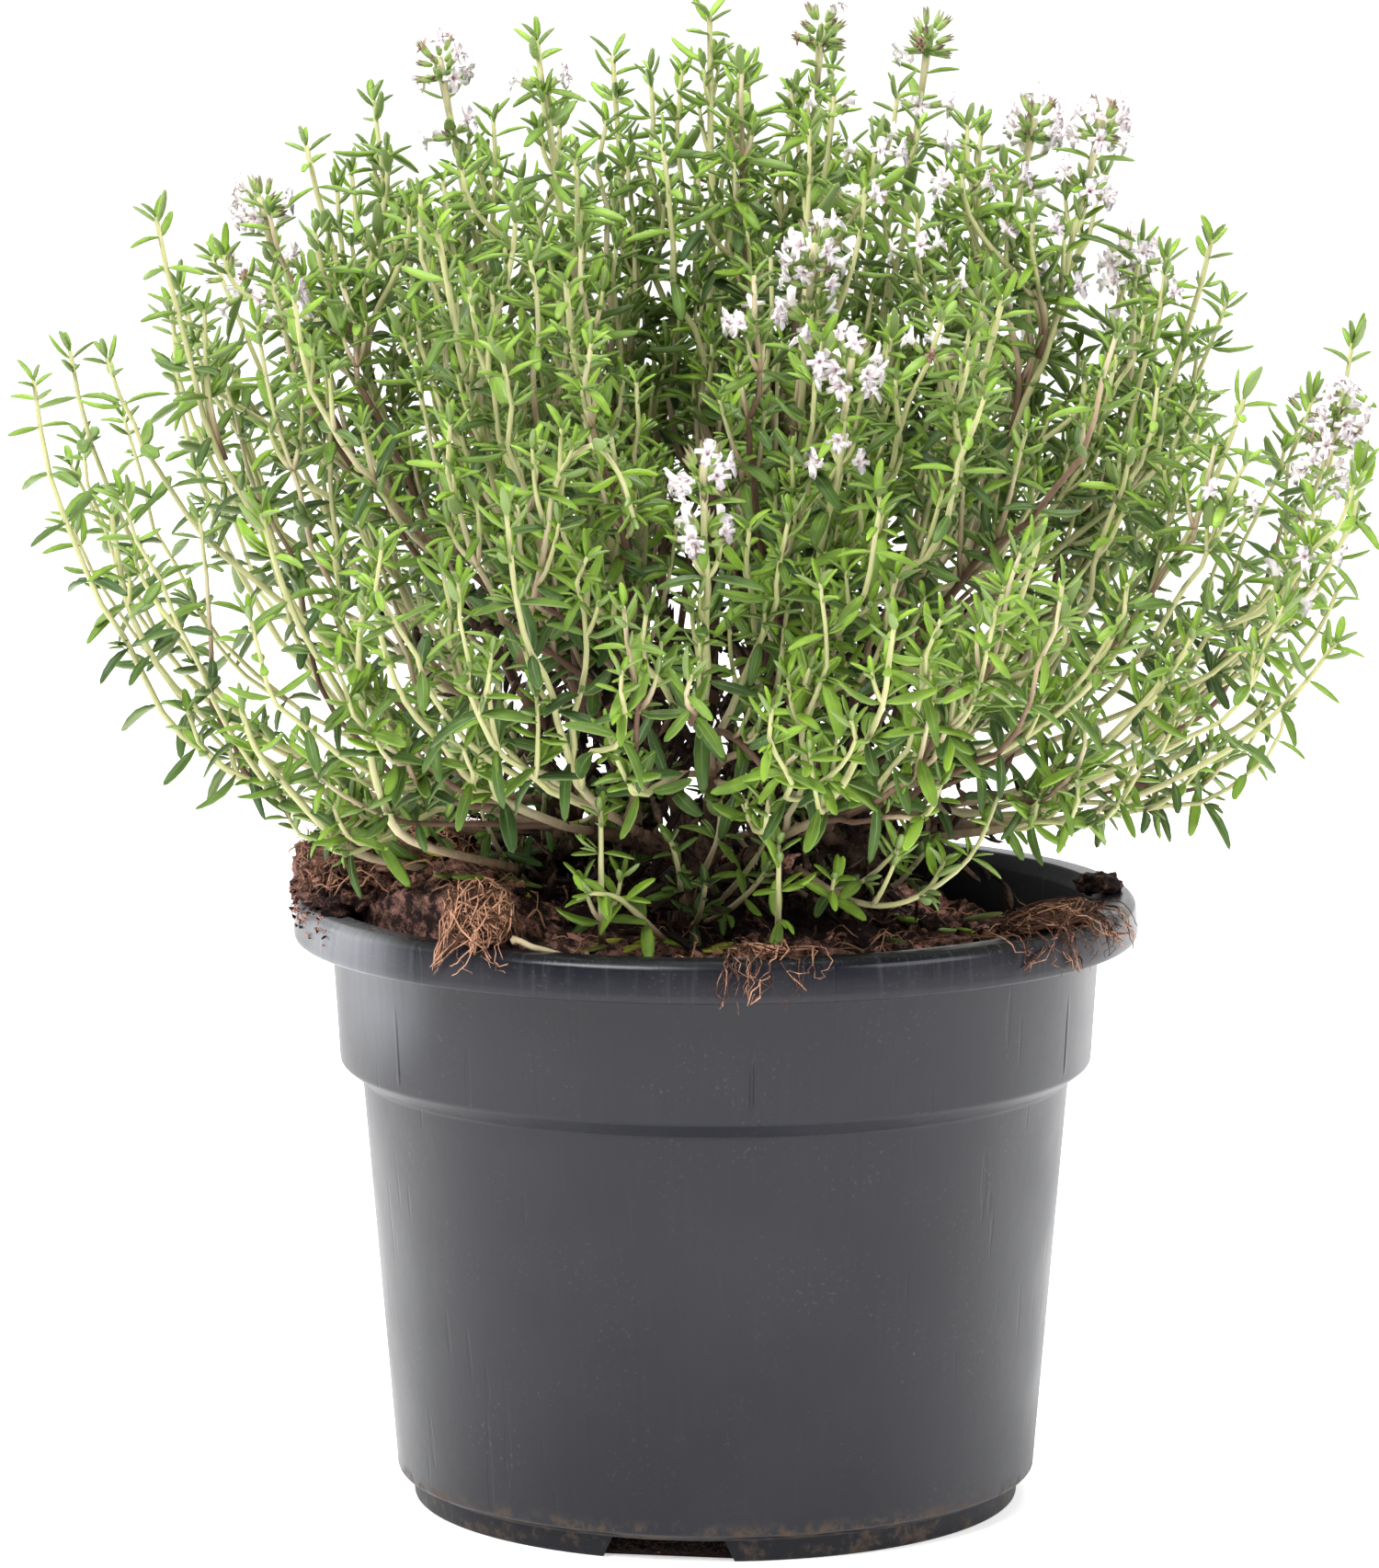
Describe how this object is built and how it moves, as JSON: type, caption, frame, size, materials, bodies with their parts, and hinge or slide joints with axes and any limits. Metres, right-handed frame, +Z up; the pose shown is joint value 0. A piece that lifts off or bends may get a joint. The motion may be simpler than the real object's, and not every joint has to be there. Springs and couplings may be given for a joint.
{
  "type": "potted common thyme",
  "caption": "Bushy flowering common thyme of upright leafy stems, in peat in a round dark plastic nursery pot with a rolled lip, deep collar and notched foot.",
  "frame": {"origin": "on the pot's axis, in the plane that the pot stands on", "axes": "+Z up, +X to the viewer's right and +Y away from the viewer of the picture"},
  "size_m": [0.2114, 0.183, 0.2322],
  "materials": {
    "pot": "satin charcoal moulded plastic with fine scuffs",
    "peat": "dark crumbly fibrous peat",
    "root": "dry orange-brown root fibres",
    "bark": "grey-brown shredding bark",
    "leaf": "matt mid green leaves on pale green stems",
    "petal": "white petals with a lilac tinge"
  },
  "bodies": {
    "root": {"pot": "pot", "peat": "peat", "root_tangle_left": "root", "root_tuft_front": "root", "root_tuft_right": "root", "woody_left": "bark", "woody_front": "bark", "woody_right": "bark", "woody_back_right": "bark", "woody_back_left": "bark", "flower_head_01": "petal", "flower_head_02": "petal", "flower_head_03": "petal", "flower_head_04": "petal", "flower_head_05": "petal", "flower_head_06": "petal", "flower_head_07": "petal", "flower_head_08": "petal", "flower_head_09": "petal", "flower_head_10": "petal", "flower_head_11": "petal", "stem_left_01": "leaf", "stem_left_02": "leaf", "stem_left_03": "leaf", "stem_left_04": "leaf", "stem_left_05": "leaf", "stem_left_06": "leaf", "stem_left_07": "leaf", "stem_left_08": "leaf", "stem_front_09": "leaf", "stem_front_10": "leaf", "stem_front_11": "leaf", "stem_front_12": "leaf", "stem_front_13": "leaf", "stem_front_14": "leaf", "stem_front_15": "leaf", "stem_right_16": "leaf", "stem_right_17": "leaf", "stem_right_18": "leaf", "stem_right_19": "leaf", "stem_right_20": "leaf", "stem_right_21": "leaf", "stem_right_22": "leaf", "stem_back_right_23": "leaf", "stem_back_right_24": "leaf", "stem_back_right_25": "leaf", "stem_back_right_26": "leaf", "stem_back_right_27": "leaf", "stem_back_right_28": "leaf", "stem_back_right_29": "leaf", "stem_back_right_30": "leaf", "stem_back_right_31": "leaf", "stem_back_left_32": "leaf", "stem_back_left_33": "leaf", "stem_back_left_34": "leaf", "stem_back_left_35": "leaf", "stem_back_left_36": "leaf", "stem_back_left_37": "leaf", "stem_back_left_38": "leaf", "stem_back_left_39": "leaf"}
  },
  "joints": []
}
